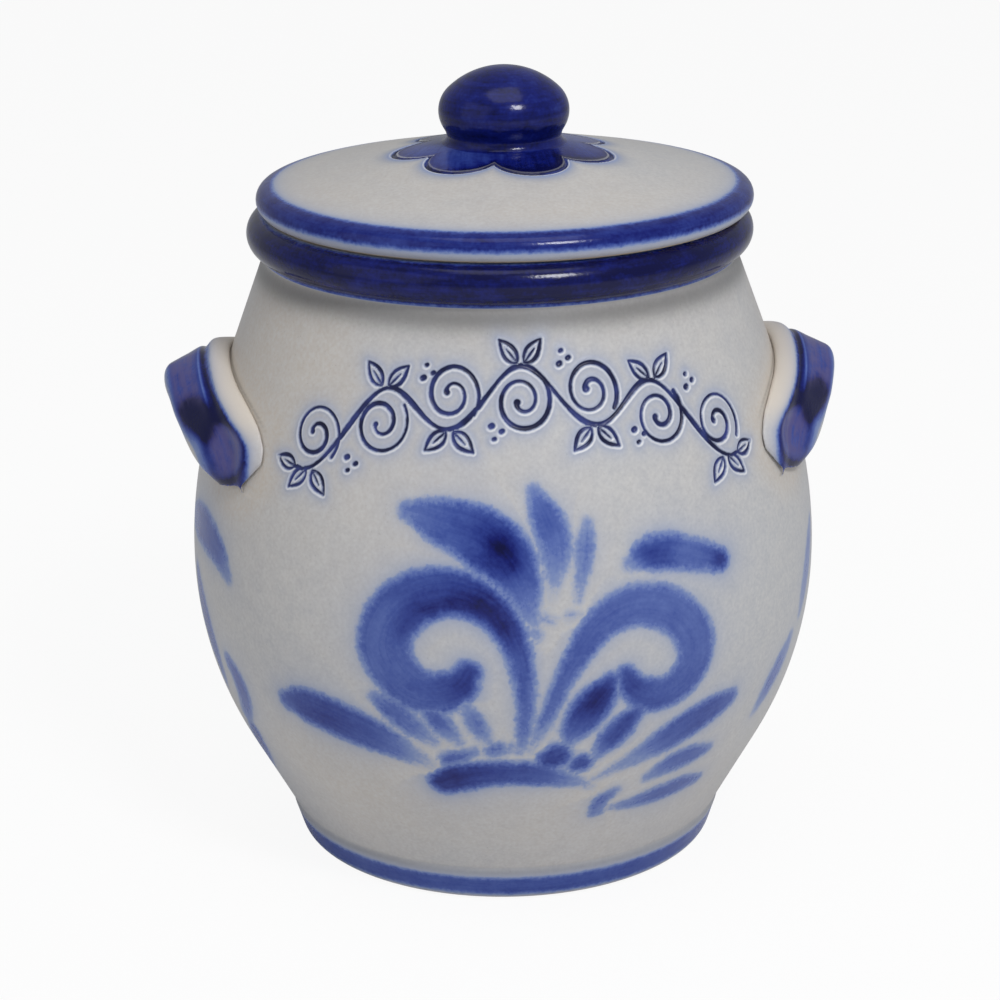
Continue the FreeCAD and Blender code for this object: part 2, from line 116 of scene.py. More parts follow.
def evened(path, plain_low, plain_high):
    """The outline without the flats of the frame's facets: softened most on the plain wall."""
    along = np.concatenate([[0], np.cumsum(np.hypot(*np.diff(path, axis=0).T))])
    fine = np.arange(0, along[-1], FINE)
    line = resampled(path, along, fine)
    plain = smoothstep(plain_low, plain_low + SOFT_FADE, line[:, 1])
    plain -= smoothstep(plain_high - SOFT_FADE, plain_high, line[:, 1])
    return blurred(line, SOFT_EDGE) * (1 - plain)[:, None] + blurred(line, SOFT_WALL) * plain[:, None]


def rows(line, pitch):
    """Points along the outline, as far apart as pitch says for each of its fine points."""
    count = np.concatenate([[0], np.cumsum(FINE / pitch[:-1])])
    return resampled(line, count, np.linspace(0, count[-1], int(count[-1]) + 1))


# ---- Turned skins: rings of columns, where finer and coarser rings are zipped
def columns(front, front_count, rest_count):
    """Angles round a ring in degrees, with the front part, +-front, divided by itself."""
    ahead = np.linspace(-front, front, front_count)
    behind = np.linspace(front, 360 - front, rest_count + 1)[1:-1]
    return np.concatenate([ahead, behind])


def zipped(low, low_angles, high, high_angles):
    """Faces between two rings: quads where their columns agree, otherwise triangles."""
    n, m = len(low_angles), len(high_angles)
    if n == m:
        i = np.arange(n)
        j = (i + 1) % n
        return np.stack([low + i, low + j, high + j, high + i], 1).tolist()
    faces, i, k = [], 0, 0
    a = np.append(low_angles, low_angles[0] + 360)
    b = np.append(high_angles, high_angles[0] + 360)
    while i < n or k < m:
        if k == m or (i < n and a[i + 1] <= b[k + 1]):
            faces.append((low + i, low + (i + 1) % n, high + k % m))
            i += 1
        else:
            faces.append((low + i % n, high + (k + 1) % m, high + k))
            k += 1
    return faces


def on_ring(radius, turn, height):
    """Places on a circle round the axis, where turn starts at the front and grows towards +X."""
    return np.stack([radius * np.sin(turn), -radius * np.cos(turn), height + 0 * turn], -1)


def turned(points, ring_columns):
    """Vertices and faces of a closed turned skin that starts and ends on the axis."""
    verts, faces, starts = [(0.0, 0.0, points[0][1])], [], [0]
    for (radius, height), angles in zip(points[1:-1], ring_columns):
        starts.append(len(verts))
        verts.extend(map(tuple, on_ring(radius, np.radians(angles), height)))
    last = len(verts)
    verts.append((0.0, 0.0, points[-1][1]))
    for i, angles in enumerate(ring_columns[:-1]):
        faces += zipped(starts[i + 1], angles, starts[i + 2], ring_columns[i + 1])
    for centre, ring, upper in ((0, 1, False), (last, len(ring_columns), True)):
        n = len(ring_columns[ring - 1])
        for k in range(n):
            a, b = starts[ring] + k, starts[ring] + (k + 1) % n
            faces.append((centre, a, b) if upper else (centre, b, a))
    return np.array(verts), faces


def placed(name, data):
    thing = bpy.data.objects.new(name, data)
    bpy.context.collection.objects.link(thing)
    return thing


def solid(name, verts, faces):
    """A new object with this skin, in millimetres."""
    mesh = bpy.data.meshes.new(name)
    mesh.from_pydata((verts * MM).tolist(), [], faces)
    mesh.validate()
    return placed(name, mesh)


# ---- Crock
FRONT = 50  # degrees on each side of the middle of the front that are divided more finely
COARSE = columns(FRONT, 60, 120)
PAINTED = columns(FRONT, 150, 230)
INCISED = columns(FRONT, 400, 230)
ROLLED = columns(FRONT, 100, 200)
BASE_EDGE, FOOT_TOP = 0.5, 16  # heights between which the foot is turned
ORNAMENT_LOW, ORNAMENT_HIGH = 140, 207  # heights between which the ornament is cut
PLAIN_LOW = 18  # where the plain wall begins; it ends where the ornament does
WALL_LOW, WALL_HIGH = 1, 214  # heights between which the outside is taken as the wall
RIM_LAND = 0.3  # this far under the top, the outside turns into the inside
PITCH_INSIDE, PITCH_WALL, PITCH_ORNAMENT, PITCH_RIM, PITCH_FOOT = 3.0, 1.2, 0.42, 0.7, 0.6  # mm between rings


def crock_rows():
    """Rings from the base's middle out, up and in again, the columns of each, and the outside's line."""
    line = evened(half_section("jar", 0.0), PLAIN_LOW, ORNAMENT_HIGH)
    height = line[:, 1]
    rim = np.argmax(height > JAR_TOP - RIM_LAND)
    outside = np.arange(len(line)) <= rim
    pitch = np.full(len(line), PITCH_INSIDE)
    pitch[outside & (height > WALL_LOW)] = PITCH_WALL
    pitch[outside & (height > ORNAMENT_LOW) & (height < ORNAMENT_HIGH)] = PITCH_ORNAMENT
    pitch[height > ORNAMENT_HIGH] = PITCH_RIM
    pitch[outside & (height < FOOT_TOP)] = PITCH_FOOT
    points = rows(line, pitch)
    top = np.argmax(points[:, 1] > JAR_TOP - RIM_LAND)
    kinds = []
    for number, (_, z) in enumerate(points[1:-1], start=1):
        if z > ORNAMENT_HIGH:
            kinds.append(ROLLED)
        elif number > top or z < BASE_EDGE:
            kinds.append(COARSE)
        else:
            kinds.append(INCISED if z > ORNAMENT_LOW else PAINTED)
    return points, kinds, line[:rim]


CROCK_POINTS, CROCK_COLUMNS, OUTSIDE = crock_rows()
WALL = OUTSIDE[np.argmax(OUTSIDE[:, 1] > WALL_LOW):np.argmax(OUTSIDE[:, 1] > WALL_HIGH)]


def wall_radius(height):
    return np.interp(height, WALL[:, 1], WALL[:, 0])


def on_wall(degrees, height):
    return on_ring(wall_radius(height), np.radians(degrees), height)


# ---- Lug handles: the strap of the CAD model again, with a fine skin
TOP, TIP = 178.8, 140.5  # heights of the joined edge at the crown and of the two ends
HALF_ANGLE = 29.0  # degrees from the middle of the handle to its ends
REACH, DROP = 20.6, 7.5  # how far out, and how far below the joined edge, the free edge runs
THICK, RAISED, ROOT = 8.5, 2.0, 3.5  # the strap's thickness, its face's relief, and its depth in the wall
ARCH_SPREAD, ARCH_FALL, ARCH_ROUND, ARCH_CROWN = 0.40, 0.45, 0.12, 3.6  # line of the joined edge
EDGE_CROWN, EDGE_BOW, EDGE_PINCH, EDGE_TURN = 1.5, 1.1, 0.30, 0.10  # line of the free edge
REACH_FADE = 1.5  # how the reach fades towards the ends
THINNING, FLATTENING, THINNING_AT_ENDS = 0.7, 0.5, 3  # the last is a power: the ends alone get thin and flat
SUNK_ENDS, TUCK = 2.0, 12  # how many roots deep the ends lie in the wall, and how suddenly they dive
AHEAD = 0.02  # share of the turn over which the strap's direction is taken
STRAP_LENGTHS, STRAP_ROUND = 180, 112

# Thumb prints: the place and length are shares of the turn; floor, edge and ring are shares of the print's radius
PRINT_LIFT = 1.8  # how far the pressed ends stand off the wall
PRINT = dict(place=0.71, inset=16.5, length=0.17, width=9.5, depth=3.6, floor=0.3, edge=1.02)
RING = dict(place=1.15, width=0.16, height=0.4)  # clay pushed up round a print
CLAY_LEFT = 1.8  # mm over the wall that a print leaves

# Section of the strap from the joined edge over the face and back under it: share of the width across, and share
# of RAISED (face) or THICK (back) up
ROOT_UP = -0.5
FACE = np.array([(0.00, 0.2), (0.10, 1.4), (0.23, 2.1), (0.36, 1.45), (0.44, 1.85), (0.60, 1.6), (0.78, 1.35),
                 (0.92, 1.0), (1.01, -0.3)])
BACK = np.array([(1.04, -0.6), (0.88, -1.0), (0.69, -1.05), (0.50, -1.05), (0.31, -1.05), (0.12, -1.0)])


def round_x(degrees, radius, height):
    """Places given by degrees round from +X."""
    turn = np.radians(degrees)
    return np.stack([radius * np.cos(turn), radius * np.sin(turn), height], -1)


def strap_edges(turn):
    """Joined and free edge of the +X strap, where turn runs from -1 to 1 between its ends."""
    share, side = np.abs(turn), np.sign(turn)
    rise = TOP - TIP
    angle = HALF_ANGLE * ((1 + ARCH_SPREAD) * np.sin(0.5 * np.pi * share) - ARCH_SPREAD * share ** 6)
    even = (np.hypot(share, ARCH_ROUND) - ARCH_ROUND) / (np.hypot(1, ARCH_ROUND) - ARCH_ROUND)
    height = TIP + rise * (1 - ARCH_FALL * even - (1 - ARCH_FALL) * share ** ARCH_CROWN)
    lift = PRINT_LIFT * np.sin(0.5 * np.pi * share ** 2) - SUNK_ENDS * ROOT * share ** TUCK
    joined = round_x(side * angle, wall_radius(height) + lift, height)
    free_angle = HALF_ANGLE * share * (1 - EDGE_PINCH * np.sin(np.pi * share) - EDGE_TURN * share)
    free_height = TIP + (rise - DROP) * (1 - share ** EDGE_CROWN) ** EDGE_BOW
    reach = REACH * (1 - share ** REACH_FADE) + lift * share
    free = round_x(side * free_angle, wall_radius(free_height) + reach, free_height)
    return joined, free


def unit(vectors):
    return vectors / np.linalg.norm(vectors, axis=1)[:, None]


def strap_frames(turn):
    """The joined edge, the way across to the free edge, and the way out of the face."""
    joined, free = strap_edges(turn)
    ahead, behind = strap_edges(np.minimum(turn + AHEAD, 1)), strap_edges(np.maximum(turn - AHEAD, -1))
    across = free - joined
    return joined, across, unit(np.cross(across, unit(ahead[0] + ahead[1] - behind[0] - behind[1])))


def catmull(corners, t):
    p0, p1, p2, p3 = corners
    return 0.5 * (2 * p1 + (p2 - p0) * t + (2 * p0 - 5 * p1 + 4 * p2 - p3) * t ** 2
                  + (3 * p1 - p0 - 3 * p2 + p3) * t ** 3)


def closed_curve(points, count):
    """A closed Catmull-Rom curve through the points of each section, evenly divided."""
    n = points.shape[1]
    where = np.linspace(0, n, count, endpoint=False)
    i = where.astype(int)
    t = (where - i)[None, :, None]
    return catmull([points[:, (i + k) % n] for k in (-1, 0, 1, 2)], t)


def in_print(end, out):
    """How far a place on a strap is from the print's middle, as a share of the print's radius."""
    return np.hypot((end - PRINT["place"]) / PRINT["length"], (out - PRINT["inset"]) / PRINT["width"])


def pressed(turn, out, up, plain):
    """The face's height with its thumb prints: soft dents that leave clay over the wall, and a ring round each."""
    dent = in_print(np.abs(turn)[:, None], out)
    room = np.maximum(np.hypot(plain[..., 0], plain[..., 1]) - wall_radius(plain[..., 2]) - CLAY_LEFT, 0.1)
    deep = PRINT["depth"] * (1 - smoothstep(PRINT["floor"], PRINT["edge"], dent))
    ring = RING["height"] * hill(dent - RING["place"], RING["width"]) * smoothstep(0.5, 3, room)
    faced = smoothstep(-0.5, 0.8, up)
    return up + faced * (ring - room * (1 - np.exp(-deep / room)))


def strap():
    """Vertices, faces and (turn, share across, height over the face) of the +X strap."""
    turn = np.linspace(-1, 1, STRAP_LENGTHS + 1)
    joined, across, face = strap_frames(turn)
    span = np.linalg.norm(across, axis=1)[:, None]
    fade = np.abs(turn)[:, None] ** THINNING_AT_ENDS
    thick = THICK * (1 - THINNING * fade)
    raised = RAISED * (1 - FLATTENING * fade)
    root = ROOT * (1 - THINNING * fade) / span
    share = np.concatenate([-root, np.tile(np.concatenate([FACE, BACK])[:, 0], (len(turn), 1))], 1)
    height = np.concatenate([ROOT_UP * thick, FACE[:, 1] * raised, BACK[:, 1] * thick], 1)
    section = closed_curve(np.stack([share * span, height, share], -1), STRAP_ROUND)
    out, up, share = section[..., 0], section[..., 1], section[..., 2]

    wide = across / span
    base = joined[:, None] + wide[:, None] * out[..., None]
    up = pressed(turn, out, up, base + face[:, None] * up[..., None])
    verts = (base + face[:, None] * up[..., None]).reshape(-1, 3)
    faces = []
    ring = np.arange(STRAP_ROUND)
    for start in range(0, (len(turn) - 1) * STRAP_ROUND, STRAP_ROUND):
        a, b = start + ring, start + (ring + 1) % STRAP_ROUND
        faces += np.stack([a, a + STRAP_ROUND, b + STRAP_ROUND, b], 1).tolist()
    faces.append(ring.tolist())
    faces.append((ring + (len(turn) - 1) * STRAP_ROUND).tolist()[::-1])
    local = np.stack([np.repeat(turn[:, None], STRAP_ROUND, 1), share, up], -1).reshape(-1, 3)
    return verts, faces, local


MARKS = [bpy.data.materials.new(name) for name in ("mark_body", "mark_others")]


def united(body, others):
    """One skin from overlapping solids, and which of its vertices lie on the body, and which on the others."""
    for number, piece in enumerate([body] + others):
        for mark in MARKS:
            piece.data.materials.append(mark)
        piece.data.polygons.foreach_set("material_index", [min(number, 1)] * len(piece.data.polygons))
    for other in others:
        join = body.modifiers.new(other.name, "BOOLEAN")
        join.operation = "UNION"
        join.solver = "MANIFOLD"
        join.object = other
    evaluated = body.evaluated_get(bpy.context.evaluated_depsgraph_get())
    mesh = bpy.data.meshes.new_from_object(evaluated)
    body.modifiers.clear()
    body.data = mesh
    for other in others:
        bpy.data.objects.remove(other)
    corners = read(mesh.loops, "vertex_index", int)
    kinds = np.repeat(read(mesh.polygons, "material_index", int), read(mesh.polygons, "loop_total", int))
    sides = [np.bincount(corners[kinds == k], minlength=len(mesh.vertices)) > 0 for k in (0, 1)]
    mesh.materials.clear()
    mesh.polygons.foreach_set("material_index", [0] * len(mesh.polygons))
    return sides


def place_all(piece, where):
    piece.data.vertices.foreach_set("co", (where * MM).ravel())
    piece.data.update()


STILL = 0.01  # weights below this leave a place where it is


def relaxed(where, pairs, weight, times):
    """Moves each weighted place towards the middle of its neighbours, so many times; pairs are the edges."""
    weight = np.where(weight > STILL, weight, 0)
    pairs = pairs[(weight[pairs] > 0).any(axis=1)]
    both = np.concatenate([pairs, pairs[:, ::-1]])
    count = np.maximum(np.bincount(both[:, 0], minlength=len(where)), 1)
    for _ in range(times):
        total = [np.bincount(both[:, 0], where[both[:, 1], axis], len(where)) for axis in range(3)]
        where = where + weight[:, None] * (np.stack(total, 1) / count[:, None] - where)
    return where


def tree_of(points):
    tree = kdtree.KDTree(len(points))
    for k, point in enumerate(points):
        tree.insert(point, k)
    tree.balance()
    return tree


FAR_AWAY = 99.0


def nearest_of(where, points, chosen):
    """For each chosen place, the nearest of the points and how far away it is; FAR_AWAY elsewhere."""
    tree = tree_of(points)
    index, away = np.zeros(len(where), int), np.full(len(where), FAR_AWAY)
    for k in np.flatnonzero(chosen):
        _, index[k], away[k] = tree.find(where[k])
    return index, away


def beside_straps(where):
    """The places near enough to a handle for its joint to matter."""
    x, y, z = where.T
    return (np.abs(x) > 55) & (z > TIP - 25) & (z < TOP + 30) & (np.hypot(x, y) > 80)


def make_jar():
    """The crock and its handles in one skin, its vertices, and for each of them: whether it is on a strap, its
    place there (turn, share, up), its distance to the line where strap and wall join, and how near to a tip the
    nearest place of that line is."""
    verts, faces = turned(CROCK_POINTS, CROCK_COLUMNS)
    jar = solid("crock", verts, faces)
    strap_verts, strap_faces, local = strap()
    both = np.concatenate([strap_verts, strap_verts * (-1, -1, 1)])
    straps = [solid("strap_%d" % k, v, strap_faces) for k, v in enumerate(np.split(both, 2))]
    crock_side, strap_side = united(jar, straps)
    on_joint = crock_side & strap_side
    where = read(jar.data.vertices, "co", float, 3).reshape(-1, 3) / MM
    index, _ = nearest_of(where, both, strap_side)
    turn, share, up = local[index % len(local)].T
    nearest_joint, away = nearest_of(where, where[on_joint], beside_straps(where))
    end = np.abs(turn[on_joint][nearest_joint])

    # the clay is worked smooth: first the pressed ends, then the joint, and last the tips
    inner = np.maximum(smoothstep(0.5, 2.5, away), smoothstep(0.8, 0.92, np.abs(turn)))
    pressed_ends = 0.85 * smoothstep(0.42, 0.6, np.abs(turn)) * (strap_side & ~crock_side) * inner
    joint = 0.9 * hill(away, 1.2 + 3.0 * smoothstep(0.45, 0.8, end))
    tips = 0.9 * hill(away, 4.5) * smoothstep(0.8, 0.9, end)
    pairs = read(jar.data.edges, "vertices", int, 2).reshape(-1, 2)
    for weight, times in ((pressed_ends, 45), (joint, 30), (tips, 60)):
        where = relaxed(where, pairs, weight, times)
    place_all(jar, where)
    return jar, where, (strap_side, turn, share, up, away, end)


# ---- Lid
DOME_LOW, KNOB_LOW = 8, 22  # mm over the crock's top where the dome and the knob begin
PETAL_ZONE = (17, 46)  # radii between which the petals are cut
PITCH_LID, PITCH_PETALS, PITCH_KNOB, PITCH_FLANGE = 1.0, 0.5, 0.6, 1.6
LID_COLUMNS = columns(90, 180, 180)


def make_lid():
    line = evened(half_section("lid", LID_AXIS), 0, 1)
    radius, height = line.T
    pitch = np.full(len(line), PITCH_LID)
    pitch[(height > JAR_TOP + DOME_LOW) & (radius < PETAL_ZONE[1]) & (radius > PETAL_ZONE[0])] = PITCH_PETALS
    pitch[height > JAR_TOP + KNOB_LOW] = PITCH_KNOB
    pitch[height < JAR_TOP] = PITCH_FLANGE
    points = rows(line, pitch)
    verts, faces = turned(points, [LID_COLUMNS] * (len(points) - 2))
    verts[:, 0] += LID_AXIS
    return solid("cover", verts, faces), verts


# ---- Painting: brush marks on the wall, each a row of places along its middle as
# (degrees round, height, width of the mark, load of cobalt in hundredths)
STROKES = [
    # leaves above the scrolls
    [(-21, 151, 6, 45), (-18, 150, 11, 55), (-14, 148, 15, 65), (-8.5, 144.5, 18, 75), (-4, 138, 18, 80),
     (-1, 129, 12, 65), (0.5, 119, 5, 40), (1.5, 111, 1.5, 15)],
    [(1.5, 158, 4, 40), (3, 152, 8, 60), (4.3, 146, 10, 60), (5, 139, 9.5, 50), (4.6, 132, 6.5, 30), (4, 124, 3, 15)],
    [(10.8, 147, 3, 35), (10.3, 141, 5.5, 45), (9.6, 133, 4.5, 40), (8.6, 123, 2, 20)],
    [(18.3, 132.5, 5, 30), (21, 134.5, 9.5, 65), (25, 134.5, 11, 75), (29, 132.5, 10.5, 60), (33.5, 129.5, 9, 65),
     (37, 127, 6.5, 80)],
    # left scroll, from its foot to its bulb
    [(-1.3, 69, 2.5, 25), (-0.7, 78, 4, 55), (-0.5, 88, 5, 65), (-1, 99, 6.5, 70), (-2.5, 110, 8.5, 80),
     (-5, 118, 10.5, 85), (-8.5, 123.5, 13, 82), (-13, 126, 15, 78), (-17.5, 124.5, 16.5, 74), (-21.3, 120, 17.5, 70),
     (-24, 113, 18, 64), (-24.8, 105, 18, 62), (-23, 97.5, 17, 62), (-19.7, 92, 15.5, 64), (-15.5, 91, 14, 70),
     (-12, 94, 12, 80), (-10.3, 98.5, 8.5, 75)],
    # right scroll
    [(0.4, 69, 2, 20), (3.2, 82, 4.5, 55), (5.4, 93, 5.5, 62), (8.2, 103, 7.5, 66), (11.8, 112.5, 10.5, 64),
     (16, 117.5, 12.5, 62), (20.3, 118.3, 13.5, 60), (24.8, 115.5, 14, 60), (28.8, 109, 14, 60), (31, 101, 14.5, 62),
     (30.4, 92.5, 13.5, 64), (27, 86.5, 12.5, 66), (22.6, 85.5, 11.5, 70), (18.8, 89.5, 9, 72), (17, 95, 6, 65)],
    # base arc
    [(-15.6, 55.5, 10, 85), (-13, 57.5, 11.5, 90), (-8.2, 59.5, 10.5, 82), (-3.2, 60, 9.5, 76), (1.8, 59, 9, 72),
     (6.3, 56.8, 7, 50), (10.5, 54, 4.5, 22), (13, 51, 3, 10)],
    # leaves and short strokes below the left scroll
    [(-47, 77, 7, 65), (-43.5, 77.5, 12, 78), (-38.5, 76.5, 14, 78), (-32.5, 74, 14, 74), (-26.5, 70.5, 11.5, 62),
     (-22, 66.5, 8, 35), (-18, 62.5, 5, 15)],
    [(-27, 87, 4, 45), (-24, 83, 7.5, 58), (-20.5, 77.5, 7, 50), (-17, 72.5, 4, 25)],
    [(-18, 84.5, 4, 45), (-15.5, 80, 6.5, 58), (-12.5, 73, 4, 25)],
    [(-10.8, 86.5, 4, 35), (-9, 80, 5.5, 50), (-7, 72.5, 3.5, 25)],
    [(-14.5, 65.5, 4.5, 60), (-12, 67, 4.5, 55), (-9.8, 69, 3, 40)],
    [(-6.2, 70, 4.5, 55), (-5.2, 70.2, 4.5, 50)],
    [(-2.8, 71.5, 3, 30), (-2.5, 70, 3, 25)],
    # leaves and short strokes below the right scroll
    [(14.3, 93, 6, 70), (12.8, 89, 10.5, 85), (10.5, 83, 12.5, 85), (8.3, 76, 9, 65), (7.3, 71, 4, 35)],
    [(20, 80, 5, 65), (17.5, 76, 8.5, 75), (15, 70.5, 8, 68), (12.8, 65, 4, 35)],
    [(4.2, 65.5, 8, 85), (5.3, 66.5, 9, 85)],
    [(9.4, 62.3, 5.5, 75), (10.2, 62.6, 6, 75)],
    [(41.5, 75, 6, 60), (38, 73.5, 9.5, 72), (32.5, 70.5, 11.5, 72), (27, 66.5, 11, 60), (21.5, 62, 7.5, 35),
     (16, 57.5, 4, 20), (12.5, 54.5, 3, 15)],
    [(39, 55.5, 4, 50), (35, 55.5, 8, 58), (30, 54.5, 8.5, 52), (25.5, 51.5, 5, 30)],
    [(40.5, 41.5, 4, 50), (35.5, 42, 7.5, 62), (29, 41, 7.5, 58), (23, 40, 5.5, 40), (18, 40, 3, 20)],
    [(18, 47.5, 3.5, 40), (15.7, 44, 5, 55), (15.2, 39, 5, 40)],
    [(2.8, 117.5, 3, 25), (4, 116.5, 2.5, 20)],
    [(1.2, 112.5, 3.5, 35), (1.5, 111.5, 3, 30)],
    [(7, 117.5, 3, 20), (8.6, 117.5, 2.5, 15)],
    # the sprays on the two sides, under the handles
    [(-86, 122, 6, 55), (-80, 124, 11, 70), (-73, 124, 13, 70), (-66, 120, 10, 60), (-62, 114, 5, 30)],
    [(-80, 104, 7, 55), (-78, 95, 12, 66), (-75.5, 84, 12, 66), (-74, 73, 8, 50), (-74.5, 66, 4, 25)],
    [(-66, 80, 6, 55), (-63.5, 74, 9, 66), (-64, 66, 8, 60), (-67, 58, 6, 40)],
    [(-66, 53, 7, 65), (-68, 46, 10, 70), (-71.5, 38, 8, 50)],
    [(-98, 100, 5, 50), (-95, 90, 9, 60), (-90, 78, 9, 55), (-84, 66, 6, 40), (-79, 56, 4, 20)],
    [(74, 119, 5, 30), (71.5, 112, 8, 42), (68.5, 101, 8.5, 42), (66.5, 91, 5, 25)],
    [(62, 84, 5, 35), (59, 77, 9, 50), (55.5, 69, 8, 48), (53, 62, 4, 25)],
    [(95, 118, 5, 40), (90, 112, 10, 55), (84, 103, 11, 55), (80, 92, 8, 45), (78, 82, 4, 20)],
    [(92, 82, 6, 50), (86, 76, 10, 60), (79, 67, 9, 50), (73, 58, 5, 30)],
]
POOLS = [  # where the cobalt lies thicker inside those marks; here the load is what is added to theirs
    [(-7.5, 145, 8, 30), (-4.8, 140.5, 10, 55), (-2.6, 134.5, 8, 40)],
    [(-22, 109, 5, 10), (-20.5, 115, 8, 35), (-17.5, 120.5, 9, 45), (-12, 123.5, 8.5, 40), (-7.5, 121.5, 9, 40),
     (-4.5, 117, 8, 40), (-2.5, 110, 6, 20)],
    [(-13.5, 90, 6, 10), (-11.2, 94, 8, 30), (-10.2, 98.5, 6, 25)],
    [(20.5, 87, 5, 15), (17.5, 92.5, 7, 25), (16.9, 96, 5, 20)],
    [(13.7, 91, 6, 30), (11, 85, 7, 30), (9.2, 79, 5, 10)],
    [(-15.5, 55.5, 8, 25), (-11, 58.5, 6, 15), (-3, 59.5, 4, 10)],
    [(21, 134.5, 7, 25), (25, 134.5, 7, 10)],
    [(36.5, 127.5, 6, 30), (37.5, 126.5, 5, 30)],
    [(-44, 77, 6, 15), (-34, 74.5, 7, 15)],
    [(18.5, 77.5, 5, 20), (15.5, 71.5, 5, 15)],
]


MARK_STEP = 0.8  # mm between the samples along a mark
MARK_MARGIN, POOL_MARGIN = 26, 12  # mm round a mark's middle that are looked at
POOL_SHARE = 0.55
UNITS = (1, 1, 1, 100)  # of the rows above: the load is in hundredths
FAR_INK = -24.0  # signed depth where no paint is near


def smooth_line(points, step):
    """A smooth line through rows that start with degrees and height, evenly divided along the wall."""
    ends = np.concatenate([[2 * points[0] - points[1]], points, [2 * points[-1] - points[-2]]])
    share = np.linspace(0, len(points) - 1, 40 * (len(points) - 1), endpoint=False)
    i = share.astype(int)
    fine = catmull([ends[i + k] for k in range(4)], (share - i)[:, None])
    fine = np.concatenate([fine, points[-1:]])
    spots = on_wall(fine[:, 0], fine[:, 1])
    length = np.concatenate([[0], np.cumsum(np.linalg.norm(np.diff(spots, axis=0), axis=1))])
    wanted = np.linspace(0, length[-1], max(int(length[-1] / step), 2))
    return resampled(fine, length, wanted), wanted


def about(where, spots, margin):
    return ((where > spots.min(0) - margin) & (where < spots.max(0) + margin)).all(axis=1)


def nearest(where, line, margin):
    """The places near a line, the line's own places, and for each the nearest of them and its distance."""
    spots = on_wall(line[:, 0], line[:, 1])
    near = np.flatnonzero(about(where, spots, margin))
    here = where[near]
    square = (here ** 2).sum(1)[:, None] + (spots ** 2).sum(1)[None] - 2 * here @ spots.T
    sample = square.argmin(1)
    return near, spots, sample, np.sqrt(np.maximum(square[np.arange(len(near)), sample], 0))


def brushed(where):
    """Signed depth inside the brush marks in mm, the load there, and a place in the mark for its streaks."""
    ink = np.full(len(where), FAR_INK)
    load = np.zeros(len(where))
    streak = np.zeros((len(where), 3))
    for number, points in enumerate(STROKES):
        line, along = smooth_line(np.divide(points, UNITS), MARK_STEP)
        near, spots, sample, gap = nearest(where, line, MARK_MARGIN)
        depth = line[sample, 2] / 2 - gap
        better = depth > ink[near]
        side = unit(np.cross(np.gradient(spots, axis=0), spots * (1, 1, 0)))
        across = ((where[near] - spots[sample]) * side[sample]).sum(1)
        mine = near[better]
        ink[mine] = depth[better]
        load[mine] = line[sample[better], 3]
        streak[mine] = np.stack([along[sample], across, np.full(len(near), 9.0 * number)], 1)[better]
    for points in POOLS:
        line, _ = smooth_line(np.divide(points, UNITS), MARK_STEP)
        near, _, sample, gap = nearest(where, line, POOL_MARGIN)
        load[near] += POOL_SHARE * line[sample, 3] * hill(gap, line[sample, 2] / 2)
    return ink, load, streak


# ---- Incised ornament: a wavy stem with curled tendrils, pairs of leaves and dots
ORNAMENT_RADIUS = 97.0  # where millimetres across are turned into degrees
WAVE, WAVE_LENGTH, STEM_END = 8.5, 24.0, 78  # the stem
SIDE_TENDRILS = 3  # on each side of the middle one
CURL_START, CURL_TURN, CURL_INNER, CURL_OUTER = 38, 560, 1.7, 8.2  # degrees, and mm from its middle
LEAF_SPREAD, LEAF_LENGTH, LEAF_WIDTH = 42, 9.5, 4.2
DOTS = ((0, 0), (3.4, 1.6), (0.9, 3.9))
CUT_STEP = 0.2  # mm between the samples along a cut
UNCUT = -9.0  # signed depth where no cut is near
CUT_DEPTH, BURR_HEIGHT = 0.7, 0.14


def arch(across):
    """Height of the ornament's middle line, which falls by 19 mm in 72 to each side."""
    return 187.0 - 19.0 * (across / 72.0) ** 2


def leaf_lines(root, turn, length, width):
    """Two bowed edges and a vein of a leaf that points in the direction turn, in degrees."""
    share = np.linspace(0, 1, 9)
    away = np.array([math.cos(math.radians(turn)), math.sin(math.radians(turn))])
    aside = np.array([-away[1], away[0]])
    edge = width / 2 * np.sin(np.pi * share ** 0.8)
    lines = []
    for bow, reach, broad in ((1, 1, 1.15), (-1, 1, 1.35), (0, 0.6, 0.8)):
        middle = np.outer(share * length * reach, away) + np.outer(bow * edge, aside)
        widths = broad * (0.55 + 0.45 * np.sin(np.pi * share))
        lines.append(np.column_stack([root + middle, widths]))
    return lines


